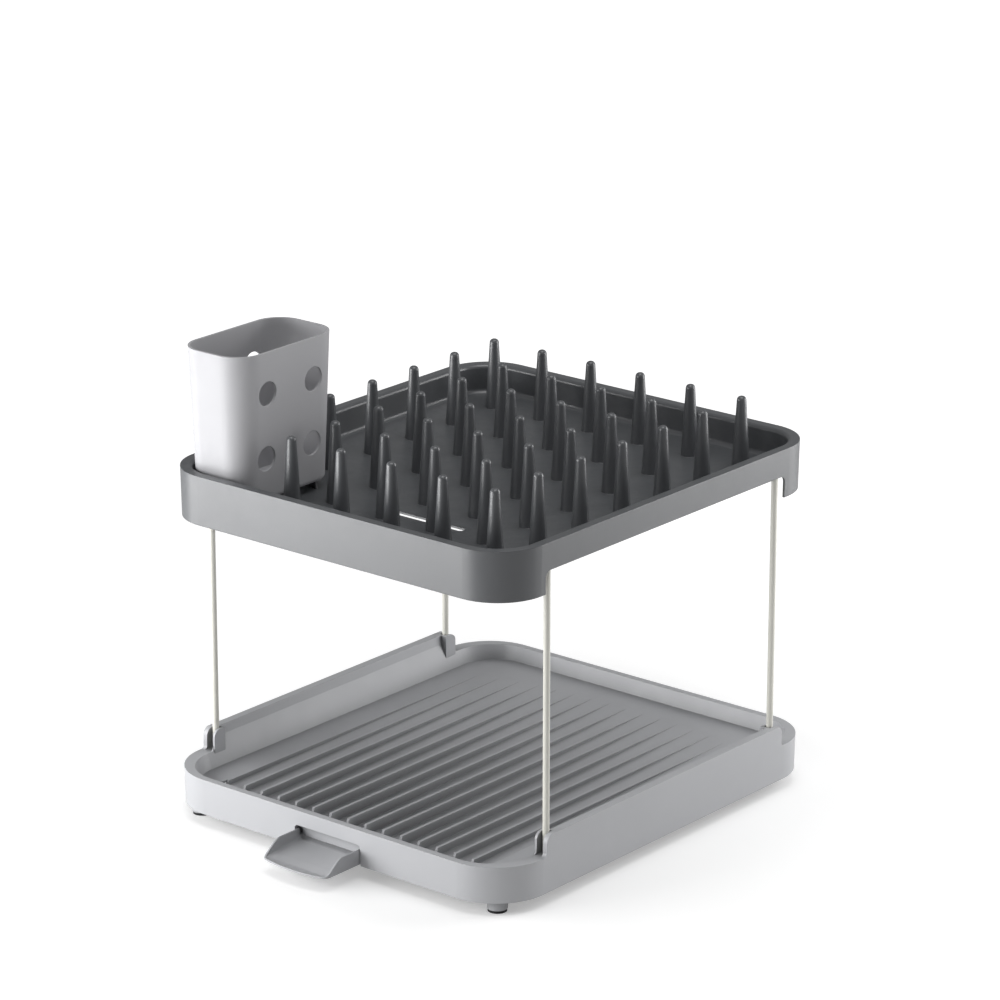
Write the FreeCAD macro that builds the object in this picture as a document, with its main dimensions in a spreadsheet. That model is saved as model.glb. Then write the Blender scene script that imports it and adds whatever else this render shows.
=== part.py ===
import FreeCAD, Part
import Sketcher
import math
import os

# Two-tier dish rack.
# A ribbed lower tray on four rubber feet drains to a sliding spout in its front skirt.
# Two bent wire frames stand in sockets of its raised sides and carry a pegged upper tray,
# and a tapered caddy for cutlery stands in the front left corner of that tray.
# Millimetres. +X runs along the front, +Y towards the back, +Z up.
# The origin lies on the table, midway between the spout's lip and the back of the lower tray.

V = FreeCAD.Vector
doc = FreeCAD.newDocument("DishRack")

# Driving sizes: name, value, meaning
SIZES = [
    # lower tray shell
    ("base_width", 318.6, "lower tray, outside, along the front"),
    ("base_depth", 360.6, "lower tray, outside, front to back"),
    ("base_corner", 41.4, "lower tray, outside corner radius"),
    ("base_draft", 1.1, "lower tray, lean of the outside, degrees"),
    ("table_gap", 9.5, "from the table to the skirt's lower edge"),
    ("base_rim", 26.6, "low rim above the skirt's lower edge"),
    ("raised_extra", 15.7, "left and right sides above the low rim"),
    ("flank_gap", 4.5, "flank of a raised side to the start of the corner"),
    ("raised_shoulder", 6.0, "radius where a raised side turns down"),
    ("raised_root", 2.8, "radius where the flank meets the low rim"),
    ("base_skin", 2.2, "outer skirt thickness"),
    ("base_inner_skin", 1.8, "basin wall thickness"),
    ("base_floor", 1.8, "lower floor thickness"),
    ("rim_web", 1.8, "thickness of the rims' top web"),
    ("basin_margin_x", 14.0, "outside to the floor's edge, left and right"),
    ("basin_margin_y", 9.2, "outside to the floor's edge, front and back"),
    ("floor_rise", 15.6, "rib tops above the skirt's lower edge"),
    ("basin_slope", 18.6, "lean of the lower basin wall, degrees"),
    ("basin_slope_top", 10.0, "lean of the basin wall above its crease, degrees"),
    ("basin_crease", 19.9, "crease in the basin wall above the rib tops"),
    # ribbed floor
    ("rib_count", 16, "ribs across the lower tray, an even number"),
    ("rib_width", 2.2, "rib thickness"),
    ("rib_land", 23.1, "floor's edge to the middle of the outermost rib"),
    ("funnel_depth", 8.4, "groove depth at the front, in the middle"),
    ("funnel_depth_edge", 3.4, "groove depth at the front, at the outermost rib"),
    ("funnel_fade", 0.35, "how far the groove floor comes out above the rear land"),
    ("funnel_front", 3.1, "floor's front edge to the gutter's front"),
    ("funnel_rear", 11.1, "floor's rear edge to where the groove floor would end"),
    ("gutter_width", 16.0, "gutter between its front and the ribs' front ends"),
    ("rib_end_slope", 3.5, "run of each rib's sloping front end"),
    # sockets for the wire frames
    ("leg_diameter", 4.8, "wire of the two frames"),
    ("leg_inset", 6.3, "outside of the lower tray to the wire's middle"),
    ("leg_from_flank", 6.3, "flank of a raised side to the wire's middle"),
    ("leg_slot", 5.5, "slot between the fins at each wire"),
    ("fin_thickness", 1.9, "inner fin beside the slot"),
    ("slot_past_wire", 0.8, "slot beyond the wire, on the side away from the flank"),
    ("boss_past_slot", 1.6, "solid end of the raised side's top, beyond the slot"),
    ("socket_wall", 2.1, "wall of the socket round the wire"),
    ("socket_depth", 21.5, "wire in its socket, below the low rim"),
    ("socket_clearance", 0.1, "radial clearance of the wire in its socket"),
    ("bar_height", 249.0, "middle of the frames' top bar above the table"),
    ("bar_bend", 8.0, "bend radius of the wire, at its middle"),
    ("wire_end_round", 0.8, "chamfer on the wire's ends"),
    # feet
    ("foot_inset_x", 22.2, "outside to the foot's middle, left and right"),
    ("foot_inset_y", 19.7, "outside to the foot's middle, front and back"),
    ("foot_diameter", 14.4, "moulded foot post"),
    ("pad_height", 2.0, "rubber pad under the post"),
    ("pad_diameter", 13.6, "rubber pad"),
    ("pad_stem", 5.0, "stem of the pad in the post"),
    ("pad_stem_length", 5.0, "length of the stem"),
    ("stem_clearance", 0.05, "radial clearance of the stem"),
    # spout
    ("opening_width", 60.6, "opening in the front skirt"),
    ("opening_height", 15.5, "opening above the skirt's lower edge"),
    ("opening_round", 3.0, "upper corners of the opening"),
    ("spout_side_gap", 0.6, "spout to the opening, each side"),
    ("spout_lift", 1.0, "spout's underside above the skirt's lower edge"),
    ("spout_wall", 1.7, "spout side walls"),
    ("spout_reach", 38.4, "spout's lip in front of the skirt"),
    ("lip_bow", 3.7, "how far the lip bows out in the middle"),
    ("spout_side", 12.7, "spout side walls, tall"),
    ("spout_side_flat", 16.8, "level run of the side walls in front of the skirt"),
    ("spout_side_arc", 18.0, "radius on which the side walls turn down to the lip"),
    ("spout_side_fall", 34.0, "how steeply the side walls fall to the lip, degrees"),
    ("spout_floor", 1.8, "spout floor thickness"),
    ("spout_floor_rear", 4.3, "spout floor above its underside, at the skirt"),
    ("spout_floor_lip", 2.3, "spout floor above its underside, at the lip"),
    ("spout_travel", 26.0, "how far the spout slides in"),
    ("slide_gap", 0.3, "gap between sliding faces"),
    ("flange_width", 4.2, "flange beside the spout's rear plate"),
    ("flange_thickness", 2.0, "flange thickness"),
    ("plate_overlap", 5.0, "rear plate past the outlet bay, when pulled out"),
    ("bay_depth", 22.7, "outlet bay behind the baffle"),
    ("baffle_gap", 1.2, "slit between the baffle and the spout floor"),
    ("baffle_top", 4.0, "baffle's overlap with the basin wall above the rib tops"),
    ("rail_wall", 2.0, "rails' upright legs"),
    ("rail_foot", 1.5, "rails' feet"),
    # upper tray
    ("upper_setback", 3.2, "lower tray's outside to the upper tray's, front and back"),
    ("upper_corner", 38.0, "upper tray, outside corner radius"),
    ("upper_draft", 1.0, "upper tray, lean of the outside, degrees"),
    ("deep_skirt", 36.1, "skirt at the front, back and corners, from the rim"),
    ("shallow_skirt", 19.8, "skirt at the sides, from the rim"),
    ("notch_past_wire", 6.3, "shallow stretch of the side skirts, beyond the wires"),
    ("notch_round", 4.5, "corner radii of that stretch"),
    ("upper_skin", 1.6, "skirt and basin wall thickness"),
    ("channel_gap", 0.35, "wire to the skins on its two sides, in the rim channel"),
    ("upper_floor", 1.7, "upper floor thickness"),
    ("upper_web", 2.0, "rim's top web"),
    ("upper_margin", 9.3, "outside to the basin wall, front and back"),
    ("rim_soft_edge", 3.0, "radius of the rim's inner edge"),
    ("upper_basin", 21.9, "rim to the floor's outer edge"),
    ("cove", 4.0, "radius where the floor meets the basin wall"),
    ("upper_fall", 11.5, "fall of the floor from its outer edge to the drain"),
    ("drain_from_front", 104.6, "front of the upper tray to the drain's middle"),
    ("drain_length", 68.0, "drain slot"),
    ("drain_width", 6.6, "drain slot"),
    ("drain_land", 3.9, "flat land round the slot"),
    ("saddle_drop", 9.0, "rim top to the saddles that rest on the bar"),
    ("saddle_thickness", 1.6, "saddle thickness"),
    ("saddle_count", 4, "saddles on each side"),
    ("saddle_margin", 40.0, "outermost saddle to the wire"),
    ("seat_gap", 0.3, "gap between parts that rest on each other"),
    # pegs
    ("peg_columns", 6, "pegs from left to right"),
    ("peg_rows", 7, "pegs from front to back"),
    ("peg_margin_x", 43.4, "outside to the outermost pegs, left and right"),
    ("peg_margin_front", 41.3, "front of the upper tray to the first row"),
    ("peg_margin_back", 37.5, "back of the upper tray to the last row"),
    ("peg_rise", 29.8, "peg tips above the rim"),
    ("peg_foot", 14.2, "peg diameter at the drain's level"),
    ("peg_shaft", 10.2, "peg diameter at the rim's level"),
    ("peg_tip", 6.6, "peg diameter below its rounded tip"),
    # caddy
    ("caddy_width", 51.8, "caddy, outside, left to right, at the bottom"),
    ("caddy_length", 95.6, "caddy, outside, front to back, at the bottom"),
    ("caddy_end", 15.8, "radius of the caddy's ends, at the bottom"),
    ("caddy_height", 109.1, "caddy height"),
    ("caddy_draft", 2.4, "lean of the caddy's walls, degrees"),
    ("caddy_wall", 1.8, "caddy wall thickness"),
    ("caddy_floor", 2.0, "caddy floor thickness"),
    ("caddy_bottom_round", 4.0, "radius round the caddy's bottom"),
    ("caddy_gap_side", 6.5, "caddy's bottom to the left basin wall"),
    ("caddy_gap_front", 4.6, "caddy's bottom to the front basin wall"),
    ("caddy_hole", 18.0, "round holes in the caddy's long sides"),
    ("caddy_hole_pitch_y", 47.1, "holes, front to back"),
    ("caddy_hole_pitch_z", 47.5, "holes, one above the other"),
    ("caddy_hole_middle", 55.1, "middle of the four holes above the bottom"),
    ("caddy_drain_width", 4.0, "drain slots in the caddy floor"),
    ("caddy_drain_length", 30.0, "drain slots in the caddy floor"),
    ("caddy_drain_pitch", 14.0, "drain slots, front to back"),
    ("caddy_drain_count", 5, "drain slots"),
    ("seat_bar", 2.4, "width of the two bars under the caddy"),
    ("seat_bar_inset", 14.0, "caddy's end to the bar under it"),
]

# Sizes that follow from the driving ones: name, formula
DERIVED = [
    # lower tray
    ("base_x", "Sizes.base_width / 2"),
    ("base_y", "Sizes.base_depth / 2"),
    ("base_bottom", "Sizes.table_gap"),
    ("low_rim_z", "Sizes.table_gap + Sizes.base_rim"),
    ("raised_z", "low_rim_z + Sizes.raised_extra"),
    ("base_foot_x", "base_x - Sizes.base_rim * tan(Sizes.base_draft)"),
    ("base_foot_y", "base_y - Sizes.base_rim * tan(Sizes.base_draft)"),
    ("skin_x", "base_foot_x - Sizes.base_skin"),
    ("skin_y", "base_foot_y - Sizes.base_skin"),
    ("skin_corner", "Sizes.base_corner - Sizes.base_skin"),
    ("floor_x", "base_x - Sizes.basin_margin_x"),
    ("floor_y", "base_y - Sizes.basin_margin_y"),
    ("floor_corner", "Sizes.base_corner - (Sizes.basin_margin_x + Sizes.basin_margin_y) / 2"),
    ("floor_z", "Sizes.table_gap + Sizes.floor_rise"),
    ("floor_under_z", "floor_z - Sizes.base_floor"),
    ("crease_z", "floor_z + Sizes.basin_crease"),
    ("crease_out", "Sizes.basin_crease * tan(Sizes.basin_slope)"),
    ("tub_x", "floor_x + Sizes.base_inner_skin - Sizes.base_floor * tan(Sizes.basin_slope)"),
    ("tub_y", "floor_y + Sizes.base_inner_skin - Sizes.base_floor * tan(Sizes.basin_slope)"),
    ("tub_corner", "floor_corner + Sizes.base_inner_skin - Sizes.base_floor * tan(Sizes.basin_slope)"),
    ("hollow_z", "low_rim_z - Sizes.rim_web"),
    ("flank_y", "base_y - Sizes.base_corner - Sizes.flank_gap"),
    # ribbed floor
    ("rib_span_x", "floor_x - Sizes.rib_land"),
    ("rib_pitch", "2 * rib_span_x / (Sizes.rib_count - 1)"),
    ("funnel_x", "rib_span_x + Sizes.rib_width / 2"),
    ("funnel_front_y", "-floor_y + Sizes.funnel_front"),
    ("funnel_rear_y", "floor_y - Sizes.funnel_rear"),
    ("rib_front_y", "funnel_front_y + Sizes.gutter_width"),
    ("funnel_bow", "Sizes.funnel_depth - Sizes.funnel_depth_edge"),
    # wire frames and their sockets
    ("leg_x", "base_x - Sizes.leg_inset"),
    ("leg_y", "flank_y - Sizes.leg_from_flank"),
    ("leg_radius", "Sizes.leg_diameter / 2"),
    ("slot_inner_x", "leg_x - Sizes.leg_slot / 2"),
    ("slot_outer_x", "leg_x + Sizes.leg_slot / 2"),
    ("fin_x", "slot_inner_x - Sizes.fin_thickness"),
    ("slot_end_y", "leg_y - leg_radius - Sizes.slot_past_wire"),
    ("boss_end_y", "slot_end_y - Sizes.boss_past_slot"),
    ("socket_bottom_z", "low_rim_z - Sizes.socket_depth"),
    ("wire_bottom_z", "socket_bottom_z + Sizes.seat_gap"),
    ("socket_radius", "leg_radius + Sizes.socket_clearance"),
    # feet
    ("foot_x", "base_x - Sizes.foot_inset_x"),
    ("foot_y", "base_y - Sizes.foot_inset_y"),
    # spout
    ("spout_x", "Sizes.opening_width / 2 - Sizes.spout_side_gap"),
    ("spout_under_z", "Sizes.table_gap + Sizes.spout_lift"),
    ("spout_floor_z", "spout_under_z + Sizes.spout_floor_rear"),
    ("face_y", "-base_y"),
    ("lip_y", "-base_y - Sizes.spout_reach"),
    ("skirt_inner_y", "-skin_y"),
    ("baffle_front_y", "-floor_y - 2 * Sizes.base_inner_skin"),
    ("baffle_rear_y", "-floor_y - Sizes.base_inner_skin"),
    ("bay_rear_y", "baffle_rear_y + Sizes.bay_depth"),
    ("wall_rear_y", "bay_rear_y - Sizes.spout_travel - 4 * Sizes.slide_gap"),
    ("plate_rear_y", "bay_rear_y + Sizes.plate_overlap"),
    ("flange_x", "spout_x + Sizes.flange_width"),
    ("flange_top_z", "spout_floor_z - Sizes.slide_gap"),
    ("flange_under_z", "flange_top_z - Sizes.flange_thickness"),
    ("rail_inner_x", "flange_x + Sizes.slide_gap"),
    ("rail_outer_x", "rail_inner_x + Sizes.rail_wall"),
    ("rail_foot_z", "flange_under_z - Sizes.slide_gap"),
    ("rail_rear_y", "plate_rear_y + Sizes.spout_travel + 2"),
    ("rail_top_z", "floor_z - Sizes.funnel_depth + 0.2"),
    ("lip_fall_z", "spout_under_z + Sizes.spout_side - (Sizes.spout_reach - Sizes.lip_bow - 0.4"
        " - Sizes.spout_side_flat) * tan(Sizes.spout_side_fall)"),
    # upper tray
    ("upper_skin_x", "leg_x + leg_radius + Sizes.channel_gap"
        " - (Sizes.deep_skirt - Sizes.shallow_skirt) * tan(Sizes.upper_draft)"),
    ("upper_foot_x", "upper_skin_x + Sizes.upper_skin"),
    ("upper_x", "upper_foot_x + Sizes.deep_skirt * tan(Sizes.upper_draft)"),
    ("upper_y", "base_y - Sizes.upper_setback"),
    ("rim_z", "Sizes.bar_height + leg_radius + Sizes.seat_gap + Sizes.saddle_drop"),
    ("upper_bottom_z", "rim_z - Sizes.deep_skirt"),
    ("upper_foot_y", "upper_y - Sizes.deep_skirt * tan(Sizes.upper_draft)"),
    ("upper_foot_corner", "Sizes.upper_corner - Sizes.deep_skirt * tan(Sizes.upper_draft)"),
    ("upper_skin_y", "upper_foot_y - Sizes.upper_skin"),
    ("upper_skin_corner", "upper_foot_corner - Sizes.upper_skin"),
    ("dish_skin_x", "leg_x - leg_radius - Sizes.channel_gap"),
    ("dish_x", "dish_skin_x - Sizes.upper_skin"),
    ("dish_y", "upper_y - Sizes.upper_margin"),
    ("dish_corner", "Sizes.upper_corner - Sizes.upper_margin"),
    ("dish_z", "rim_z - Sizes.upper_basin"),
    ("dish_under_z", "dish_z - Sizes.upper_floor"),
    ("drain_z", "dish_z - Sizes.upper_fall"),
    ("drain_under_z", "drain_z - Sizes.upper_floor"),
    ("drain_y", "-upper_y + Sizes.drain_from_front"),
    ("land_x", "Sizes.drain_length / 2 + Sizes.drain_land"),
    ("land_y", "Sizes.drain_width / 2 + Sizes.drain_land"),
    ("land_corner", "land_y - 0.2"),
    ("dish_skin_y", "dish_y + Sizes.upper_skin"),
    ("dish_skin_corner", "dish_corner + Sizes.upper_skin"),
    ("channel_z", "rim_z - Sizes.upper_web"),
    ("notch_z", "rim_z - Sizes.shallow_skirt"),
    ("notch_y", "leg_y + Sizes.notch_past_wire"),
    ("saddle_z", "rim_z - Sizes.saddle_drop"),
    # pegs
    ("peg_x", "upper_x - Sizes.peg_margin_x"),
    ("peg_pitch_x", "2 * peg_x / (Sizes.peg_columns - 1)"),
    ("peg_front_y", "-upper_y + Sizes.peg_margin_front"),
    ("peg_back_y", "upper_y - Sizes.peg_margin_back"),
    ("peg_pitch_y", "(peg_back_y - peg_front_y) / (Sizes.peg_rows - 1)"),
    ("peg_top_z", "rim_z + Sizes.peg_rise"),
    # caddy
    ("caddy_x", "-dish_x + Sizes.caddy_gap_side + Sizes.caddy_width / 2"),
    ("caddy_y", "-dish_y + Sizes.caddy_gap_front + Sizes.caddy_length / 2"),
    ("caddy_z", "dish_z + Sizes.seat_gap"),
    ("caddy_growth", "Sizes.caddy_height * tan(Sizes.caddy_draft)"),
    # origin on the table, midway between the lip and the back
    ("tray_y", "Sizes.spout_reach / 2"),
]


def build_sheet(name, rows, prefix):
    """Fill a spreadsheet: a name, a value and an alias for each size."""
    sheet = doc.addObject("Spreadsheet::Sheet", name)
    for number, row in enumerate(rows, start=1):
        sheet.set("A%d" % number, row[0])
        sheet.set("B%d" % number, prefix + str(row[1]))
        sheet.setAlias("B%d" % number, row[0])
        if len(row) > 2:
            sheet.set("C%d" % number, row[2])
    return sheet


sizes = build_sheet("Sizes", SIZES, "")
derived = build_sheet("Derived", DERIVED, "=")
doc.recompute()
DRIVING_NAMES = {row[0] for row in SIZES}


def read(name):
    """The present value of a named size."""
    sheet = sizes if name in DRIVING_NAMES else derived
    return float(sheet.get(name))


def term(name):
    """How an expression refers to a named size."""
    return ("Sizes." if name in DRIVING_NAMES else "Derived.") + name


class Length:
    """A length made of named sizes: its present value and its expression."""

    def __init__(self, value, text):
        self.value = value
        self.text = text

    def __add__(self, other):
        other = as_length(other)
        return Length(self.value + other.value, "%s + %s" % (self.text, other.text))

    def __sub__(self, other):
        other = as_length(other)
        return Length(self.value - other.value, "%s - (%s)" % (self.text, other.text))

    def __mul__(self, factor):
        return Length(self.value * factor, "(%s) * %r" % (self.text, factor))

    def __neg__(self):
        return Length(-self.value, "-(%s)" % self.text)


def as_length(item):
    """Turn a size's name, a plain number or a Length into a Length."""
    if isinstance(item, Length):
        return item
    if isinstance(item, str):
        return Length(read(item), term(item))
    return Length(float(item), repr(float(item)))


L = as_length


def bind(item, attribute, length):
    """Set a property and tie it to its expression."""
    length = as_length(length)
    item.setExpression(attribute, length.text)


def origin_feature(body, role):
    """One of a body's own origin planes or axes."""
    for feature in body.Origin.OriginFeatures:
        if feature.Role == role:
            return feature
    raise ValueError(role)


def new_body(label):
    """A body for one sub-part, standing in the middle of the trays."""
    body = doc.addObject("PartDesign::Body", label)
    body.Label = label
    bind(body, "Placement.Base.y", "tray_y")
    return body


def new_sketch(body, name, role="XY_Plane", lift=None, shift=None):
    """A sketch on one of the body's origin planes, moved along its normal by lift."""
    sketch = body.newObject("Sketcher::SketchObject", name)
    sketch.AttachmentSupport = (origin_feature(body, role), [""])
    sketch.MapMode = "FlatFace"
    if lift is not None:
        bind(sketch, "AttachmentOffset.Base.z", lift)
    if shift is not None:
        bind(sketch, "AttachmentOffset.Base.x", shift)
    return sketch


def pin_point(sketch, geometry, end, x, y):
    """Hold a point of a sketch at x and y from the sketch's origin."""
    for kind, length, axis in (("DistanceX", L(x), -2), ("DistanceY", L(y), -1)):
        if abs(length.value) < 1e-9:
            sketch.addConstraint(Sketcher.Constraint("PointOnObject", geometry, end, axis))
            continue
        index = sketch.addConstraint(Sketcher.Constraint(kind, -1, 1, geometry, end, length.value))
        sketch.setExpression("Constraints[%d]" % index, length.text)


def draw_outline(sketch, corners):
    """A closed outline through corners (x, y, radius); a radius of None stays sharp."""
    count = len(corners)
    places = [V(L(x).value, L(y).value, 0) for x, y, _ in corners]
    starts = []
    ends = []
    middles = []
    for i in range(count):
        here = places[i]
        radius = corners[i][2]
        if radius is None:
            starts.append(here)
            ends.append(here)
            middles.append(None)
            continue
        back = (places[i - 1] - here).normalize()
        ahead = (places[(i + 1) % count] - here).normalize()
        half_angle = math.acos(max(-1.0, min(1.0, back.dot(ahead)))) / 2
        reach = L(radius).value / math.tan(half_angle)
        starts.append(here + back * reach)
        ends.append(here + ahead * reach)
        bisector = (back + ahead).normalize()
        middles.append(here + bisector * (L(radius).value / math.sin(half_angle)))
    lines = []
    for i in range(count):
        line = Part.LineSegment(ends[i], starts[(i + 1) % count])
        lines.append(sketch.addGeometry(line, False))
    for i in range(count):
        line_in = lines[i - 1]
        line_out = lines[i]
        x, y, radius = corners[i]
        if radius is None:
            sketch.addConstraint(Sketcher.Constraint("Coincident", line_in, 2, line_out, 1))
            pin_point(sketch, line_out, 1, x, y)
            continue
        first = starts[i] - middles[i]
        second = ends[i] - middles[i]
        turns_left = first.cross(second).z > 0
        begin, finish = (first, second) if turns_left else (second, first)
        angle_1 = math.atan2(begin.y, begin.x)
        angle_2 = math.atan2(finish.y, finish.x)
        circle = Part.Circle(middles[i], V(0, 0, 1), L(radius).value)
        arc = sketch.addGeometry(Part.ArcOfCircle(circle, angle_1, angle_2), False)
        arc_in, arc_out = (1, 2) if turns_left else (2, 1)
        corner_point = sketch.addGeometry(Part.Point(places[i]), True)
        sketch.addConstraint([
            Sketcher.Constraint("Tangent", line_in, 2, arc, arc_in),
            Sketcher.Constraint("Tangent", line_out, 1, arc, arc_out),
            Sketcher.Constraint("PointOnObject", corner_point, 1, line_in),
            Sketcher.Constraint("PointOnObject", corner_point, 1, line_out),
        ])
        pin_point(sketch, corner_point, 1, x, y)
        index = sketch.addConstraint(Sketcher.Constraint("Radius", arc, L(radius).value))
        sketch.setExpression("Constraints[%d]" % index, L(radius).text)


def draw_rounded_rectangle(sketch, half_x, half_y, radius, middle_y=0.0):
    """A rectangle with four equal corner radii, centred at x = 0 and y = middle_y."""
    half_x = L(half_x)
    low = L(middle_y) - half_y
    high = L(middle_y) + half_y
    draw_outline(sketch, [
        (-half_x, low, radius),
        (half_x, low, radius),
        (half_x, high, radius),
        (-half_x, high, radius),
    ])


def draw_rectangle(sketch, low_x, low_y, high_x, high_y):
    """A sharp rectangle between two corners."""
    draw_outline(sketch, [
        (low_x, low_y, None),
        (high_x, low_y, None),
        (high_x, high_y, None),
        (low_x, high_y, None),
    ])


def draw_circle(sketch, x, y, diameter):
    """A circle of a named diameter."""
    diameter = L(diameter)
    circle = Part.Circle(V(L(x).value, L(y).value, 0), V(0, 0, 1), diameter.value / 2)
    index = sketch.addGeometry(circle, False)
    pin_point(sketch, index, 3, x, y)
    mark = sketch.addConstraint(Sketcher.Constraint("Diameter", index, diameter.value))
    sketch.setExpression("Constraints[%d]" % mark, diameter.text)


def pad(body, name, sketch, length, taper=None, reverse=False, both_sides=False):
    """Add the sketch's outline, pulled out by length."""
    feature = body.newObject("PartDesign::Pad", name)
    feature.Profile = sketch
    feature.Reversed = reverse
    feature.Midplane = both_sides
    bind(feature, "Length", length)
    if taper is not None:
        bind(feature, "TaperAngle", taper)
    return feature


def pocket(body, name, sketch, length, taper=None, up=False, both_sides=False):
    """Cut the sketch's outline; up cuts along the sketch's normal, otherwise against it."""
    feature = body.newObject("PartDesign::Pocket", name)
    feature.Profile = sketch
    feature.Reversed = up
    feature.Midplane = both_sides
    bind(feature, "Length", length)
    if taper is not None:
        bind(feature, "TaperAngle", taper)
    return feature


def loft(body, name, kind, sections):
    """A straight-sided loft through sections."""
    feature = body.newObject("PartDesign::" + kind, name)
    feature.Profile = sections[0]
    feature.Sections = sections[1:]
    feature.Ruled = True
    return feature


def copies(body, name, originals, mirrors):
    """Mirror features about origin planes, one plane after the other."""
    transform = body.newObject("PartDesign::MultiTransform", name)
    transform.Originals = originals
    steps = []
    for number, role in enumerate(mirrors):
        step = body.newObject("PartDesign::Mirrored", "%s%d" % (name, number + 1))
        step.MirrorPlane = (origin_feature(body, role), [""])
        steps.append(step)
    transform.Transformations = steps
    body.Tip = transform
    return transform


def row_of(body, name, originals, role, length, count):
    """Repeat features along an origin axis, first to last over a length."""
    pattern = body.newObject("PartDesign::LinearPattern", name)
    pattern.Originals = originals
    pattern.Direction = (origin_feature(body, role), [""])
    bind(pattern, "Length", length)
    bind(pattern, "Occurrences", count)
    body.Tip = pattern
    return pattern


def edge_names(shape, wanted):
    """Names of a shape's edges that pass a test."""
    return ["Edge%d" % (i + 1) for i, edge in enumerate(shape.Edges) if wanted(edge)]


def round_edges(body, name, wanted, radius):
    """Fillet the edges of the body's present tip that pass a test."""
    doc.recompute()
    base = body.Tip
    names = edge_names(base.Shape, wanted)
    feature = body.newObject("PartDesign::Fillet", name)
    feature.Base = (base, names)
    bind(feature, "Radius", radius)
    return feature


def level_edge(z, tolerance=1e-4):
    """A test for edges that lie at one height."""
    def wanted(edge):
        box = edge.BoundBox
        return abs(box.ZMin - z) < tolerance and abs(box.ZMax - z) < tolerance
    return wanted


# Ribbed floor of the lower tray

def groove_depth(x_share):
    """Groove depth at the gutter, as a share of the way from the middle to the last rib."""
    return L("funnel_depth") - L("funnel_bow") * (x_share * x_share)


def draw_funnel_section(sketch, top, depth_of):
    """The groove floor's section: level on top, a shallow valley of four chords below."""
    corners = [(-L("funnel_x"), top, None), (-L("funnel_x"), depth_of(1.0), None)]
    for share in (-0.5, 0.0, 0.5):
        corners.append((L("funnel_x") * share, depth_of(share), None))
    corners.append((L("funnel_x"), depth_of(1.0), None))
    corners.append((L("funnel_x"), top, None))
    draw_outline(sketch, corners)


def add_funnel(body, name, kind, top, drop, wider):
    """The valley that falls from the rear land to the gutter, as one straight loft."""
    sections = []
    for place, fade in (("front", False), ("rear", True)):
        y = L("funnel_front_y") - wider if place == "front" else L("funnel_rear_y")
        sketch = new_sketch(body, name + place, "XZ_Plane", lift=-y)

        def depth_of(share, fade=fade):
            level = L("floor_z") + "funnel_fade" if fade else L("floor_z") - groove_depth(share)
            return level - drop

        draw_funnel_section(sketch, top, depth_of)
        sections.append(sketch)
    return loft(body, name, kind, sections)


def add_ribs(body):
    """Upright ribs that stand in the valley, level with the land round it."""
    middle = L("base_floor") * 0.5
    half = int(read("rib_count")) // 2
    ribs = []
    for number in range(half):
        share = (2 * number + 1) / (2.0 * half - 1)
        x = L("rib_span_x") * share
        sketch = new_sketch(body, "RibSide%d" % (number + 1), "YZ_Plane", lift=x)
        front_bottom = L("floor_z") - groove_depth(share) - middle
        rear_bottom = L("floor_z") + "funnel_fade" - middle
        draw_outline(sketch, [
            (L("rib_front_y") + "rib_end_slope", "floor_z", None),
            ("rib_front_y", front_bottom + L("funnel_depth") * 0.05, None),
            ("funnel_rear_y", rear_bottom - 0.0, None),
            ("funnel_rear_y", "floor_z", None),
        ])
        ribs.append(pad(body, "Rib%d" % (number + 1), sketch, "rib_width", both_sides=True))
    return copies(body, "RibsOtherSide", ribs, ["YZ_Plane"])


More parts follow.
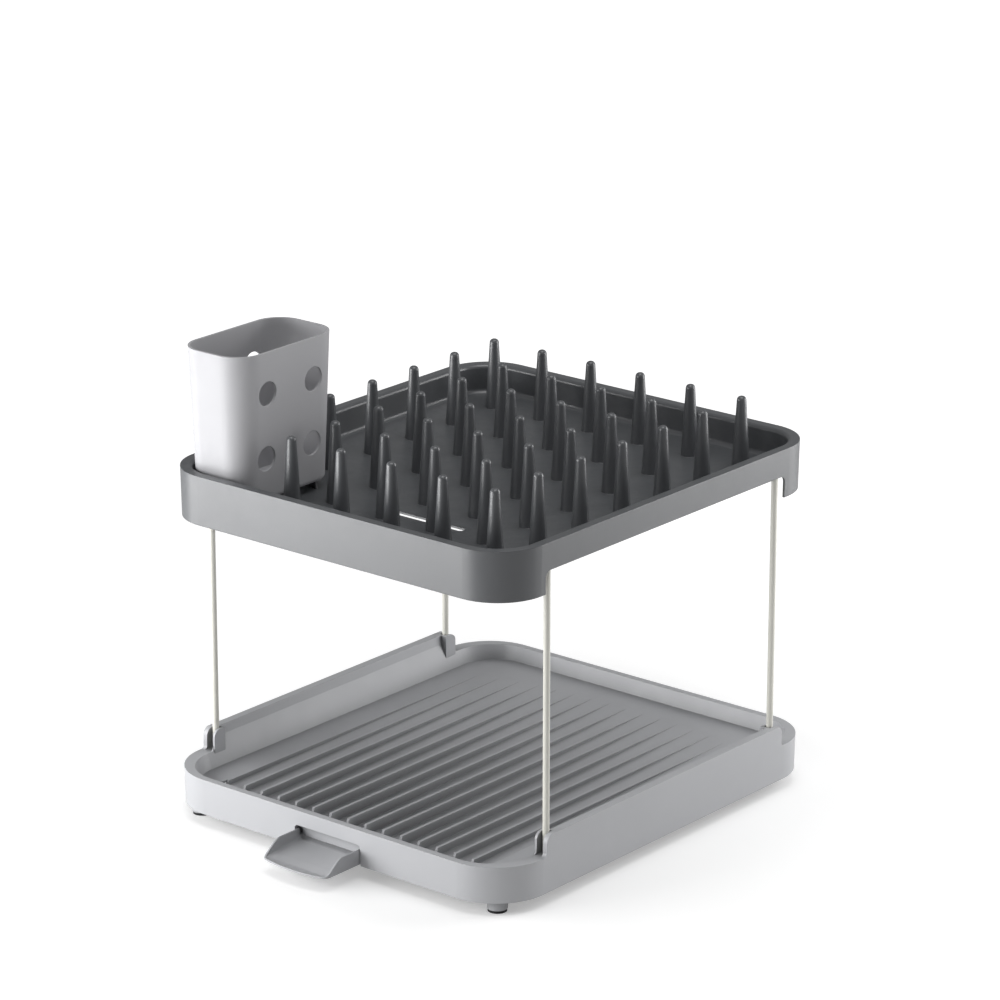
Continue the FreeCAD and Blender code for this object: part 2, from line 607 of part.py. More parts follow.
def base_tray():
    """The lower tray: skirt, raised sides, basin, ribbed floor, sockets, posts and rails."""
    body = new_body("base_tray")

    # Solid outline
    outline = new_sketch(body, "BaseOutline", lift="base_bottom")
    draw_rounded_rectangle(outline, "base_foot_x", "base_foot_y", "base_corner")
    pad(body, "BaseBlock", outline, L("base_rim") + "raised_extra", taper="base_draft")

    # Underside: everything inside the skirt, then the hollows under the raised rims
    under = new_sketch(body, "UndersideOutline", lift="base_bottom")
    draw_rounded_rectangle(under, "skin_x", "skin_y", "skin_corner")
    pocket(body, "Underside", under, L("base_rim") - "rim_web", up=True)
    hollow = new_sketch(body, "SideHollowOutline", lift="hollow_z")
    draw_rectangle(hollow, "floor_x", -L("boss_end_y"), "skin_x", "boss_end_y")
    side_hollow = pocket(body, "SideHollow", hollow, L("raised_extra"), up=True)
    copies(body, "SideHollows", [side_hollow], ["YZ_Plane"])

    # Basin: a tapered tub is added inside, then its inside is cut
    tub = new_sketch(body, "TubOutline", lift="floor_under_z")
    draw_rounded_rectangle(tub, "tub_x", "tub_y", "tub_corner")
    pad(body, "Tub", tub, L("raised_z") - "floor_under_z", taper="basin_slope")
    valley_top = L("floor_z") - L("base_floor") * 0.3
    add_funnel(body, "Bowl", "AdditiveLoft", valley_top, L("base_floor"), "base_floor")
    crease = new_sketch(body, "BasinTopOutline", lift="crease_z")
    draw_rounded_rectangle(
        crease,
        L("floor_x") + "crease_out",
        L("floor_y") + "crease_out",
        L("floor_corner") + "crease_out",
    )
    pocket(body, "BasinTop", crease, L("raised_z"), taper="basin_slope_top", up=True)
    floor = new_sketch(body, "BasinFloorOutline", lift="floor_z")
    draw_rounded_rectangle(floor, "floor_x", "floor_y", "floor_corner")
    pocket(body, "Basin", floor, "basin_crease", taper="basin_slope", up=True)
    add_funnel(body, "Valley", "SubtractiveLoft", L("floor_z") + "base_floor", L("base_floor") * 0.0, 0.0)
    add_ribs(body)

    # Sockets at the four wires: a boss, the slot between two fins, and the bore below it
    boss = new_sketch(body, "BossOutline", lift="hollow_z")
    draw_rectangle(boss, "fin_x", "boss_end_y", L("skin_x") + 0.5, L("flank_y"))
    boss_pad = pad(body, "Boss", boss, L("raised_z") - "hollow_z")
    block = new_sketch(body, "SocketOutline", lift=L("socket_bottom_z") - "socket_wall")
    reach = L("socket_radius") + "socket_wall"
    draw_rectangle(block, "fin_x", L("leg_y") - reach, L("skin_x") + 0.5, L("leg_y") + reach)
    block_pad = pad(body, "SocketBlock", block, L("socket_depth") + "socket_wall")
    slot = new_sketch(body, "SlotOutline", lift="low_rim_z")
    draw_rectangle(slot, "slot_inner_x", "slot_end_y", "slot_outer_x", L("base_y"))
    slot_cut = pocket(body, "Slot", slot, L("raised_extra") * 2.0, up=True)
    bore = new_sketch(body, "BoreOutline", lift="low_rim_z")
    draw_circle(bore, "leg_x", "leg_y", L("socket_radius") * 2.0)
    bore_cut = pocket(body, "Bore", bore, "socket_depth")
    copies(body, "Sockets", [boss_pad, block_pad, slot_cut, bore_cut], ["YZ_Plane", "XZ_Plane"])

    # Low rim at the front, the back and the corners, with an S-shaped step to the raised sides
    step = new_sketch(body, "RimStepOutline", "YZ_Plane")
    above = L("raised_z") + "raised_extra"
    draw_outline(step, [
        (L("flank_y") - L("raised_shoulder") * 2.0, above, None),
        (L("flank_y") - L("raised_shoulder") * 2.0, "raised_z", None),
        (L("flank_y"), "raised_z", "raised_shoulder"),
        (L("flank_y") + 0.4, "low_rim_z", "raised_root"),
        (L("base_depth"), "low_rim_z", None),
        (L("base_depth"), above, None),
    ])
    step_cut = pocket(body, "RimStep", step, L("base_width") * 1.2, both_sides=True)
    copies(body, "RimSteps", [step_cut], ["XZ_Plane"])

    # Foot posts with a blind hole for the rubber pads' stems
    post = new_sketch(body, "PostOutline", lift="pad_height")
    draw_circle(post, "foot_x", "foot_y", "foot_diameter")
    post_pad = pad(body, "FootPost", post, L("floor_under_z") + L("base_floor") * 0.5 - "pad_height")
    stem = new_sketch(body, "StemHoleOutline", lift="pad_height")
    draw_circle(stem, "foot_x", "foot_y", L("pad_stem") + L("stem_clearance") * 2.0)
    stem_cut = pocket(body, "StemHole", stem, L("pad_stem_length") + "seat_gap", up=True)
    copies(body, "FootPosts", [post_pad, stem_cut], ["YZ_Plane", "XZ_Plane"])

    # Spout: opening in the skirt, outlet bay in the floor, baffle and rails
    opening = new_sketch(body, "OpeningOutline", "XZ_Plane", lift=-L("skirt_inner_y") - "base_inner_skin")
    half = L("opening_width") * 0.5
    top = L("base_bottom") + "opening_height"
    below = L("base_bottom") - "base_skin"
    draw_outline(opening, [
        (-half, below, None),
        (half, below, None),
        (half, top, "opening_round"),
        (-half, top, "opening_round"),
    ])
    pocket(body, "SpoutOpening", opening, L("base_skin") * 4.0, up=True)
    bay = new_sketch(body, "BayOutline", lift="floor_z")
    draw_rectangle(bay, -half, "baffle_rear_y", half, "bay_rear_y")
    pocket(body, "OutletBay", bay, L("floor_z") - "base_bottom")
    baffle = new_sketch(body, "BaffleOutline", "YZ_Plane")
    draw_rectangle(
        baffle,
        "baffle_front_y",
        L("spout_floor_z") + "baffle_gap",
        "baffle_rear_y",
        L("floor_z") + "baffle_top",
    )
    baffle_half = L("spout_x") - "spout_wall" - "slide_gap"
    pad(body, "Baffle", baffle, baffle_half * 2.0, both_sides=True)
    rail = new_sketch(body, "RailOutline", "XZ_Plane", lift=-L("skirt_inner_y"))
    draw_outline(rail, [
        (L("opening_width") * 0.5 + "slide_gap", L("rail_foot_z") - "rail_foot", None),
        ("rail_outer_x", L("rail_foot_z") - "rail_foot", None),
        ("rail_outer_x", "rail_top_z", None),
        ("rail_inner_x", "rail_top_z", None),
        ("rail_inner_x", "rail_foot_z", None),
        (L("opening_width") * 0.5 + "slide_gap", "rail_foot_z", None),
    ])
    rail_pad = pad(body, "Rail", rail, L("rail_rear_y") - "skirt_inner_y", reverse=True)
    copies(body, "Rails", [rail_pad], ["YZ_Plane"])
    return body


def drain_spout():
    """The sliding spout: an open scoop in front, a flanged plate behind."""
    body = new_body("drain_spout")

    # Side view of the scoop: level behind, then falling to the lip
    side = new_sketch(body, "ScoopSide", "YZ_Plane")
    top = L("spout_under_z") + "spout_side"
    lip_side = L("lip_y") + "lip_bow" + 0.4
    draw_outline(side, [
        ("wall_rear_y", "spout_under_z", None),
        ("lip_y", "spout_under_z", None),
        ("lip_y", L("spout_under_z") + "spout_floor_lip" + 0.6, None),
        (lip_side, "lip_fall_z", None),
        (L("face_y") - "spout_side_flat", top, "spout_side_arc"),
        ("wall_rear_y", top, None),
    ])
    pad(body, "Scoop", side, L("spout_x") * 2.0, both_sides=True)

    # Inside between the side walls, and the hollow under the floor
    inside = new_sketch(body, "ScoopInside", "YZ_Plane")
    lip_floor = L("spout_under_z") + "spout_floor_lip"
    draw_outline(inside, [
        (L("wall_rear_y") + 5.0, "spout_floor_z", None),
        ("skirt_inner_y", "spout_floor_z", None),
        (L("lip_y") - 2.0, lip_floor, None),
        (L("lip_y") - 2.0, top + 5.0, None),
        (L("wall_rear_y") + 5.0, top + 5.0, None),
    ])
    half = L("spout_x") - "spout_wall"
    pocket(body, "ScoopChannel", inside, half * 2.0, both_sides=True)
    under = new_sketch(body, "ScoopUnder", "YZ_Plane")
    draw_outline(under, [
        ("wall_rear_y", L("spout_under_z") - 2.0, None),
        ("wall_rear_y", L("spout_floor_z") - "spout_floor", None),
        (L("lip_y") + "lip_bow" + "spout_floor_rear", lip_floor + 0.3 - "spout_floor", None),
        (L("lip_y") + "lip_bow" + "spout_floor_rear", L("spout_under_z") - 2.0, None),
    ])
    pocket(body, "ScoopHollow", under, half * 2.0, both_sides=True)

    # The lip bows out in plan
    bow = new_sketch(body, "LipBow", lift=top + 1.0)
    end_x = read("spout_x") + 2
    bow_y = read("lip_y") + read("lip_bow")
    far_y = read("lip_y") - 6
    tip = V(0, read("lip_y"), 0)
    curve = Part.Arc(V(-end_x, bow_y, 0), tip, V(end_x, bow_y, 0))
    arc = bow.addGeometry(curve, False)
    right = bow.addGeometry(Part.LineSegment(V(end_x, bow_y, 0), V(end_x, far_y, 0)), False)
    outer = bow.addGeometry(Part.LineSegment(V(end_x, far_y, 0), V(-end_x, far_y, 0)), False)
    left = bow.addGeometry(Part.LineSegment(V(-end_x, far_y, 0), V(-end_x, bow_y, 0)), False)
    apex = bow.addGeometry(Part.Point(tip), True)
    bow.addConstraint([
        Sketcher.Constraint("Coincident", right, 1, arc, 2),
        Sketcher.Constraint("Coincident", right, 2, outer, 1),
        Sketcher.Constraint("Coincident", outer, 2, left, 1),
        Sketcher.Constraint("Coincident", left, 2, arc, 1),
        Sketcher.Constraint("PointOnObject", apex, 1, arc),
    ])
    pin_point(bow, right, 1, L("spout_x") + 2.0, L("lip_y") + "lip_bow")
    pin_point(bow, left, 2, -(L("spout_x") + 2.0), L("lip_y") + "lip_bow")
    pin_point(bow, outer, 1, L("spout_x") + 2.0, L("lip_y") - 6.0)
    pin_point(bow, outer, 2, -(L("spout_x") + 2.0), L("lip_y") - 6.0)
    pin_point(bow, apex, 1, 0.0, "lip_y")
    pocket(body, "LipTrim", bow, L("spout_side") * 2.0)

    # Rear plate with flanges that run in the rails
    plate = new_sketch(body, "PlateOutline", lift="flange_under_z")
    draw_outline(plate, [
        (-L("flange_x"), L("skirt_inner_y") + "slide_gap", None),
        ("flange_x", L("skirt_inner_y") + "slide_gap", None),
        ("flange_x", "plate_rear_y", "flange_thickness"),
        (-L("flange_x"), "plate_rear_y", "flange_thickness"),
    ])
    pad(body, "Plate", plate, "flange_thickness")
    tongue = new_sketch(body, "TongueOutline", lift="flange_under_z")
    draw_rectangle(tongue, -L("spout_x"), L("skirt_inner_y") - 4.0, "spout_x", L("skirt_inner_y") + 4.0)
    pad(body, "Tongue", tongue, "flange_thickness")
    round_edges(body, "LipRound", spout_lip_edge, L("spout_floor_lip") * 0.45)
    return body


def spout_lip_edge(edge):
    """The two long curved edges of the spout's lip."""
    box = edge.BoundBox
    return box.XLength > read("spout_x") and box.YMax < read("lip_y") + read("lip_bow") + 1


def leg_frame(label, side):
    """One wire frame: two legs and the bar that joins them under the upper tray."""
    body = new_body(label)
    path = new_sketch(body, "WirePath", "YZ_Plane", lift=L("leg_x") * float(side))
    leg_y = read("leg_y")
    low = read("wire_bottom_z")
    high = read("bar_height")
    bend = read("bar_bend")
    left = path.addGeometry(Part.LineSegment(V(-leg_y, low, 0), V(-leg_y, high - bend, 0)), False)
    circle = Part.Circle(V(-leg_y + bend, high - bend, 0), V(0, 0, 1), bend)
    turn = path.addGeometry(Part.ArcOfCircle(circle, math.pi / 2, math.pi), False)
    bar = path.addGeometry(Part.LineSegment(V(-leg_y + bend, high, 0), V(leg_y - bend, high, 0)), False)
    circle = Part.Circle(V(leg_y - bend, high - bend, 0), V(0, 0, 1), bend)
    back = path.addGeometry(Part.ArcOfCircle(circle, 0, math.pi / 2), False)
    right = path.addGeometry(Part.LineSegment(V(leg_y, high - bend, 0), V(leg_y, low, 0)), False)
    path.addConstraint([
        Sketcher.Constraint("Tangent", left, 2, turn, 2),
        Sketcher.Constraint("Tangent", turn, 1, bar, 1),
        Sketcher.Constraint("Tangent", bar, 2, back, 2),
        Sketcher.Constraint("Tangent", back, 1, right, 1),
        Sketcher.Constraint("Vertical", left),
        Sketcher.Constraint("Horizontal", bar),
        Sketcher.Constraint("Vertical", right),
        Sketcher.Constraint("Equal", turn, back),
    ])
    pin_point(path, left, 1, -L("leg_y"), "wire_bottom_z")
    pin_point(path, right, 2, "leg_y", "wire_bottom_z")
    height = path.addConstraint(Sketcher.Constraint("DistanceY", -1, 1, bar, 1, high))
    path.setExpression("Constraints[%d]" % height, term("bar_height"))
    radius = path.addConstraint(Sketcher.Constraint("Radius", turn, bend))
    path.setExpression("Constraints[%d]" % radius, term("bar_bend"))
    section = new_sketch(body, "WireSection", "XY_Plane", lift="wire_bottom_z")
    draw_circle(section, L("leg_x") * float(side), -L("leg_y"), "leg_diameter")
    wire = body.newObject("PartDesign::AdditivePipe", "Wire")
    wire.Profile = section
    wire.Spine = path
    doc.recompute()
    ends = edge_names(wire.Shape, level_edge(low))
    chamfer = body.newObject("PartDesign::Chamfer", "WireEnds")
    chamfer.Base = (wire, ends)
    bind(chamfer, "Size", "wire_end_round")
    return body


def foot_pad(label, side_x, side_y):
    """A rubber pad with a stem that pushes into the foot post."""
    body = new_body(label)
    x = L("foot_x") * float(side_x)
    y = L("foot_y") * float(side_y)
    disc = new_sketch(body, "PadOutline")
    draw_circle(disc, x, y, "pad_diameter")
    pad(body, "Pad", disc, "pad_height")
    stem = new_sketch(body, "StemOutline", lift="pad_height")
    draw_circle(stem, x, y, "pad_stem")
    pad(body, "Stem", stem, "pad_stem_length")
    return body


def hollow_tool():
    """What the upper tray is hollowed with from below: the space between skirt and basin."""
    body = doc.addObject("PartDesign::Body", "upper_hollow")
    outline = new_sketch(body, "HollowOutline", lift="upper_bottom_z")
    draw_rounded_rectangle(outline, "upper_skin_x", "upper_skin_y", "upper_skin_corner")
    pad(body, "HollowBlock", outline, L("channel_z") - "upper_bottom_z", taper="upper_draft")
    wall = new_sketch(body, "HollowWallOutline", lift="dish_under_z")
    draw_rounded_rectangle(wall, "dish_skin_x", "dish_skin_y", "dish_skin_corner")
    pocket(body, "HollowWall", wall, L("rim_z") - "dish_under_z", up=True)
    edge = new_sketch(body, "HollowBowlTop", lift="dish_under_z")
    draw_rounded_rectangle(edge, "dish_skin_x", "dish_skin_y", "dish_skin_corner")
    low = new_sketch(body, "HollowBowlLow", lift="drain_under_z")
    draw_rounded_rectangle(low, L("land_x") + 1.0, L("land_y") + 1.0, "land_corner", "drain_y")
    loft(body, "HollowBowl", "SubtractiveLoft", [edge, low])
    return body


def upper_tray():
    """The upper tray: skirt, rim, basin, pegs, drain and the saddles that rest on the bars."""
    body = new_body("upper_tray")

    # Solid outline and basin
    outline = new_sketch(body, "UpperOutline", lift="upper_bottom_z")
    draw_rounded_rectangle(outline, "upper_foot_x", "upper_foot_y", "upper_foot_corner")
    pad(body, "UpperBlock", outline, "deep_skirt", taper="upper_draft")
    basin = new_sketch(body, "UpperBasinOutline", lift="dish_z")
    draw_rounded_rectangle(basin, "dish_x", "dish_y", "dish_corner")
    pocket(body, "UpperBasin", basin, "upper_basin", up=True)
    reach_x = read("dish_x") + 1
    reach_y = read("dish_y") + 1

    def within_basin(edge):
        box = edge.BoundBox
        return box.XMax < reach_x and box.XMin > -reach_x and box.YMax < reach_y and box.YMin > -reach_y

    rim_level = level_edge(read("rim_z"))
    round_edges(body, "RimSoftEdge", lambda edge: rim_level(edge) and within_basin(edge), "rim_soft_edge")
    floor_level = level_edge(read("dish_z"))
    round_edges(body, "Cove", lambda edge: floor_level(edge) and within_basin(edge), "cove")

    # The floor falls straight to a small flat land round the drain
    edge = new_sketch(body, "FallTop", lift="dish_z")
    inset = L("cove") + 0.2
    draw_rounded_rectangle(edge, L("dish_x") - inset, L("dish_y") - inset, L("dish_corner") - inset)
    land = new_sketch(body, "FallLow", lift="drain_z")
    draw_rounded_rectangle(land, "land_x", "land_y", "land_corner", "drain_y")
    loft(body, "Fall", "SubtractiveLoft", [edge, land])

    # Pegs: one turned profile, repeated over the lattice, and a shorter column behind the caddy
    pegs = []
    for name, row in (("Field", 0.0), ("Corner", 2.0)):
        y = L("peg_front_y") + L("peg_pitch_y") * row
        x = -L("peg_x")
        if name == "Field":
            x = x + "peg_pitch_x"
        sketch = new_sketch(body, "%sPegSide" % name, "XZ_Plane", lift=-y)
        base = L("drain_z") - L("upper_floor") * 0.5
        draw_outline(sketch, [
            (x, base, None),
            (x + L("peg_foot") * 0.5, base, None),
            (x + L("peg_foot") * 0.5, "drain_z", None),
            (x + L("peg_shaft") * 0.5, "rim_z", L("peg_tip") * 6.0),
            (x + L("peg_tip") * 0.5, "peg_top_z", L("peg_tip") * 0.44),
            (x, "peg_top_z", None),
        ])
        turned = body.newObject("PartDesign::Revolution", "%sPeg" % name)
        turned.Profile = sketch
        axis_x = x.value
        axis = sketch.addGeometry(
            Part.LineSegment(V(axis_x, read("drain_z"), 0), V(axis_x, read("rim_z"), 0)), True)
        pin_point(sketch, axis, 1, x, "drain_z")
        pin_point(sketch, axis, 2, x, "rim_z")
        turned.ReferenceAxis = (sketch, ["Axis0"])
        turned.Angle = 360
        body.Tip = turned
        pegs.append(turned)
        doc.recompute()
        if name == "Field":
            lattice = body.newObject("PartDesign::LinearPattern", "PegField")
            lattice.Originals = [turned]
            lattice.Direction = (origin_feature(body, "X_Axis"), [""])
            bind(lattice, "Length", L("peg_x") * 2.0 - "peg_pitch_x")
            lattice.setExpression("Occurrences", "Sizes.peg_columns - 1")
            lattice.Direction2 = (origin_feature(body, "Y_Axis"), [""])
            bind(lattice, "Length2", L("peg_back_y") - "peg_front_y")
            lattice.setExpression("Occurrences2", "Sizes.peg_rows")
            body.Tip = lattice
        else:
            column = body.newObject("PartDesign::LinearPattern", "PegCorner")
            column.Originals = [turned]
            column.Direction = (origin_feature(body, "Y_Axis"), [""])
            bind(column, "Length", L("peg_back_y") - "peg_front_y" - L("peg_pitch_y") * 2.0)
            column.setExpression("Occurrences", "Sizes.peg_rows - 2")
            body.Tip = column

    # Two bars on the falling floor carry the caddy
    for name, way in (("Front", -1.0), ("Rear", 1.0)):
        y = L("caddy_y") + (L("caddy_length") * 0.5 - "seat_bar_inset") * way
        bar = new_sketch(body, "SeatBar%s" % name, lift="drain_z")
        half = L("caddy_width") * 0.5 - "caddy_bottom_round"
        draw_rectangle(
            bar,
            L("caddy_x") - half,
            y - L("seat_bar") * 0.5,
            L("caddy_x") + half,
            y + L("seat_bar") * 0.5,
        )
        pad(body, "SeatBarPad%s" % name, bar, L("dish_z") - "drain_z")

    # Hollow between skirt and basin, from below
    tool = hollow_tool()
    hollow = body.newObject("PartDesign::Boolean", "UpperHollow")
    hollow.setObjects([tool])
    hollow.Type = "Cut"
    body.Tip = hollow
    doc.recompute()

    # Shallow stretch of the side skirts
    notch = new_sketch(body, "NotchOutline", "YZ_Plane", lift=L("dish_skin_x") + 0.2)
    below = L("upper_bottom_z") - "notch_round"
    draw_outline(notch, [
        (-L("notch_y"), below, None),
        ("notch_y", below, None),
        ("notch_y", "notch_z", "notch_round"),
        (-L("notch_y"), "notch_z", "notch_round"),
    ])
    notch_cut = pocket(body, "Notch", notch, L("upper_margin") * 2.0, up=True)
    copies(body, "Notches", [notch_cut], ["YZ_Plane"])

    # Drain
    slot = new_sketch(body, "DrainOutline", lift="rim_z")
    round_end = L("drain_width") * 0.48
    draw_rounded_rectangle(slot, L("drain_length") * 0.5, L("drain_width") * 0.5, round_end, "drain_y")
    pocket(body, "Drain", slot, L("deep_skirt") + "upper_skin")

    # Saddles under the side rims
    saddle = new_sketch(body, "SaddleOutline", lift="saddle_z")
    first_y = L("saddle_margin") - "leg_y"
    half = L("saddle_thickness") * 0.5
    draw_rectangle(saddle, L("dish_skin_x") - 0.4, first_y - half, L("upper_skin_x") + 1.0, first_y + half)
    saddle_pad = pad(body, "Saddle", saddle, L("channel_z") - "saddle_z" + 0.5)
    saddles = body.newObject("PartDesign::MultiTransform", "Saddles")
    saddles.Originals = [saddle_pad]
    along = body.newObject("PartDesign::LinearPattern", "SaddlesAlong")
    along.Direction = (origin_feature(body, "Y_Axis"), [""])
    bind(along, "Length", -first_y * 2.0)
    bind(along, "Occurrences", "saddle_count")
    across = body.newObject("PartDesign::Mirrored", "SaddlesAcross")
    across.MirrorPlane = (origin_feature(body, "YZ_Plane"), [""])
    saddles.Transformations = [along, across]
    body.Tip = saddles
    return body


def cutlery_caddy():
    """The caddy: a tapered pot with round holes and drain slots."""
    body = new_body("cutlery_caddy")
    half_x = L("caddy_width") * 0.5
    half_y = L("caddy_length") * 0.5

    def stadium(sketch, inset):
        low_x = L("caddy_x") - half_x + inset
        high_x = L("caddy_x") + half_x - inset
        low_y = L("caddy_y") - half_y + inset
        high_y = L("caddy_y") + half_y - inset
        radius = L("caddy_end") - inset
        draw_outline(sketch, [
            (low_x, low_y, radius),
            (high_x, low_y, radius),
            (high_x, high_y, radius),
            (low_x, high_y, radius),
        ])

    outline = new_sketch(body, "CaddyOutline", lift="caddy_z")
    stadium(outline, 0.0)
    pad(body, "CaddyBlock", outline, "caddy_height", taper="caddy_draft")
    round_edges(body, "CaddyBottom", level_edge(read("caddy_z")), "caddy_bottom_round")
    inside = new_sketch(body, "CaddyInside", lift=L("caddy_z") + "caddy_floor")
    stadium(inside, "caddy_wall")
    pocket(body, "CaddyPot", inside, "caddy_height", taper="caddy_draft", up=True)
    hole = new_sketch(body, "CaddyHoleOutline", "YZ_Plane", lift=L("caddy_x") - half_x * 2.0)
    y = L("caddy_y") - L("caddy_hole_pitch_y") * 0.5
    z = L("caddy_z") + "caddy_hole_middle" - L("caddy_hole_pitch_z") * 0.5
    draw_circle(hole, y, z, "caddy_hole")
    hole_cut = pocket(body, "CaddyHole", hole, half_x * 4.0, up=True)
    holes = body.newObject("PartDesign::LinearPattern", "CaddyHoles")
    holes.Originals = [hole_cut]
    holes.Direction = (origin_feature(body, "Y_Axis"), [""])
    bind(holes, "Length", "caddy_hole_pitch_y")
    holes.Occurrences = 2
    holes.Direction2 = (origin_feature(body, "Z_Axis"), [""])
    bind(holes, "Length2", "caddy_hole_pitch_z")
    holes.Occurrences2 = 2
    body.Tip = holes
    drain = new_sketch(body, "CaddyDrainOutline", lift=L("caddy_z") + "caddy_floor")
    span = L("caddy_drain_pitch") * 2.0
    first_y = L("caddy_y") - span
    draw_rectangle(
        drain,
        L("caddy_x") - L("caddy_drain_length") * 0.5,
        first_y - L("caddy_drain_width") * 0.5,
        L("caddy_x") + L("caddy_drain_length") * 0.5,
        first_y + L("caddy_drain_width") * 0.5,
    )
    drain_cut = pocket(body, "CaddyDrain", drain, L("caddy_floor") * 2.0)
    row_of(body, "CaddyDrains", [drain_cut], "Y_Axis", span * 2.0, "caddy_drain_count")
    return body


parts = [base_tray(), drain_spout(), upper_tray(), cutlery_caddy()]
parts.append(leg_frame("leg_frame_left", -1))
parts.append(leg_frame("leg_frame_right", 1))
for depth_name, side_y in (("front", -1), ("back", 1)):
    for width_name, side_x in (("left", -1), ("right", 1)):
        parts.append(foot_pad("foot_pad_%s_%s" % (depth_name, width_name), side_x, side_y))

doc.recompute()

# Every object has to be sound before anything is written
for item in doc.Objects:
    if "Invalid" in item.State or "Error" in item.State:
        raise RuntimeError("%s did not recompute: %s" % (item.Label, item.State))
for part in parts:
    if part.Shape.isNull() or not part.Shape.isValid():
        raise RuntimeError("%s has no valid shape" % part.Label)

os.makedirs("parts", exist_ok=True)
for part in parts:
    part.Shape.exportStep("parts/%s.step" % part.Label)
    print(part.Label, len(part.Shape.Solids), round(part.Shape.Volume, 1), part.Shape.BoundBox)
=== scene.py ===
import math

import bmesh
import bpy
from mathutils import Matrix, Vector


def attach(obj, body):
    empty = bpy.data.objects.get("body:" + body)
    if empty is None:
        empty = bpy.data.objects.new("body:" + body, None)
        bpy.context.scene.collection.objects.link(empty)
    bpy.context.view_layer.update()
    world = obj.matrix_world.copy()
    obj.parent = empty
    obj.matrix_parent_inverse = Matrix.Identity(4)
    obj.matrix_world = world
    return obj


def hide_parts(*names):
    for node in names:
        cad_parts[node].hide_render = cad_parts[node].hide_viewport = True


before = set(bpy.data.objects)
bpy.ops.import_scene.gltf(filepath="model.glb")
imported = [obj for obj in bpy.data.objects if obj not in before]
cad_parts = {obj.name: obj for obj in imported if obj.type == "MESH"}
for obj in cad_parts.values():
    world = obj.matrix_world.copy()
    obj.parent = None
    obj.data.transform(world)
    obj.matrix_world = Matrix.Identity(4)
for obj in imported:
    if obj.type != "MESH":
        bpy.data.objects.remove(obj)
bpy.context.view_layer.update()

MM = 0.001
WHITE = (1.0, 1.0, 1.0, 1.0)

# Viewpoint of the photograph, fitted to the trays' edges, the pegs and the wires
CAMERA_AZIMUTH = math.radians(39.53)
CAMERA_ELEVATION = math.radians(18.247)
CAMERA_ROLL = math.radians(0.053)
CAMERA_DISTANCE = 3.1657
CAMERA_LENS = 160.76
SENSOR_WIDTH = 36.0
FARTHEST_SEEN = 50.0
AIM_POINT = Vector((3.9, 22.4, 223.8)) * MM

# Finish of each node
NODE_FINISH = {
    "base_tray": "tray_light",
    "drain_spout": "spout_light",
    "upper_tray": "tray_dark",
    "cutlery_caddy": "caddy_light",
    "leg_frame_left": "wire_coated",
    "leg_frame_right": "wire_coated",
    "foot_pad_front_left": "pad_rubber",
    "foot_pad_front_right": "pad_rubber",
    "foot_pad_back_left": "pad_rubber",
    "foot_pad_back_right": "pad_rubber",
}

# Moulded plastics: 0-255 sRGB colour, surface, radius of softened edges, depth of painted shade in recesses
PLASTICS = {
    "tray_light": dict(tone=(182, 183, 186), roughness=0.42, sheen=0.60, edge_radius=0.45 * MM, recess_shade=0.60),
    "spout_light": dict(tone=(170, 171, 174), roughness=0.40, sheen=0.60, edge_radius=0.50 * MM),
    "tray_dark": dict(tone=(86, 88, 91), roughness=0.34, sheen=0.95, edge_radius=0.70 * MM),
    "caddy_light": dict(tone=(186, 186, 189), roughness=0.46, sheen=0.25, edge_radius=0.50 * MM),
}

# Noise lies mostly between these two values
NOISE_LOW = 0.3
NOISE_HIGH = 0.7

# Painted shade in recesses: how far a surface looks for what shades it, and the open shares between which
# the painted shade fades out
RECESS_SHADE_REACH = 16 * MM
RECESS_SHADE_CLOSED = 0.40
RECESS_SHADE_OPEN = 0.95
RECESS_SHADE_SAMPLES = 8

# Rays that soften an edge
EDGE_SAMPLES = 6

# Marks on moulded plastic: slow flow marks, smears and spark-eroded grain
PLASTIC_SHIFT = 2
FLOW_SIZE = 60 * MM
FLOW_HEIGHT = 0.03 * MM
SMEAR_SIZE = 9 * MM
SMEAR_ROUGHNESS = 0.6
SMEAR_SHINIER = 0.05
SMEAR_DULLER = 0.06
GRAIN_SIZE = 0.45 * MM
GRAIN_HEIGHT = 0.012 * MM

# Coating of the wires
WIRE_TONE = (224, 223, 214)
RIPPLE_SIZE = 22 * MM
RIPPLE_HEIGHT = 0.004 * MM
RIPPLE_DARKER = 2
RIPPLE_LIGHTER = 1
WIRE_SHINY = 0.30
WIRE_DULL = 0.36
COAT_WEIGHT = 0.25
COAT_ROUGHNESS = 0.15

# Dusty rubber of the foot pads
PAD_TONE = (30, 30, 32)
PAD_EDGE = 0.4 * MM
PAD_GRAIN_SIZE = 0.6 * MM
PAD_GRAIN_ROUGHNESS = 0.7
PAD_GRAIN_HEIGHT = 0.03 * MM
DUST_SIZE = 4 * MM
DUST_DARKER = 8
DUST_LIGHTER = 10
PAD_SHINY = 0.68
PAD_DULL = 0.85

# Floor: its grey, and how much it glows for the camera alone, near the rack and far from it
FLOOR_HALF = 12.0
FLOOR_GREY = 0.80
FLOOR_ROUGHNESS = 0.9
FLOOR_LIFT_NEAR = 0.32
FLOOR_LIFT_FAR = 0.85
NEAR_FLOOR = 0.35
FAR_FLOOR = 1.3

# Light: the rack's middle on the floor, the height the lamps face, and the even light of the room
RACK_MIDDLE = Vector((0, 0.019, 0))
LAMP_AIM = 0.2
AMBIENT = 0.23

# Scoop of the spout, in plan
SPOUT_HALF = 29.7 * MM
SPOUT_WALL = 1.7 * MM
SPOUT_REAR = -158.2 * MM
LIP_Y = -199.5 * MM
LIP_BOW = 4.0 * MM
CORNER_START = -190.5 * MM
CORNER_CROWN = -195.8 * MM
CORNER_END_X = 25.0 * MM
WALL_STEPS = 24
CORNER_STEPS = 10
LIP_STEPS = 12

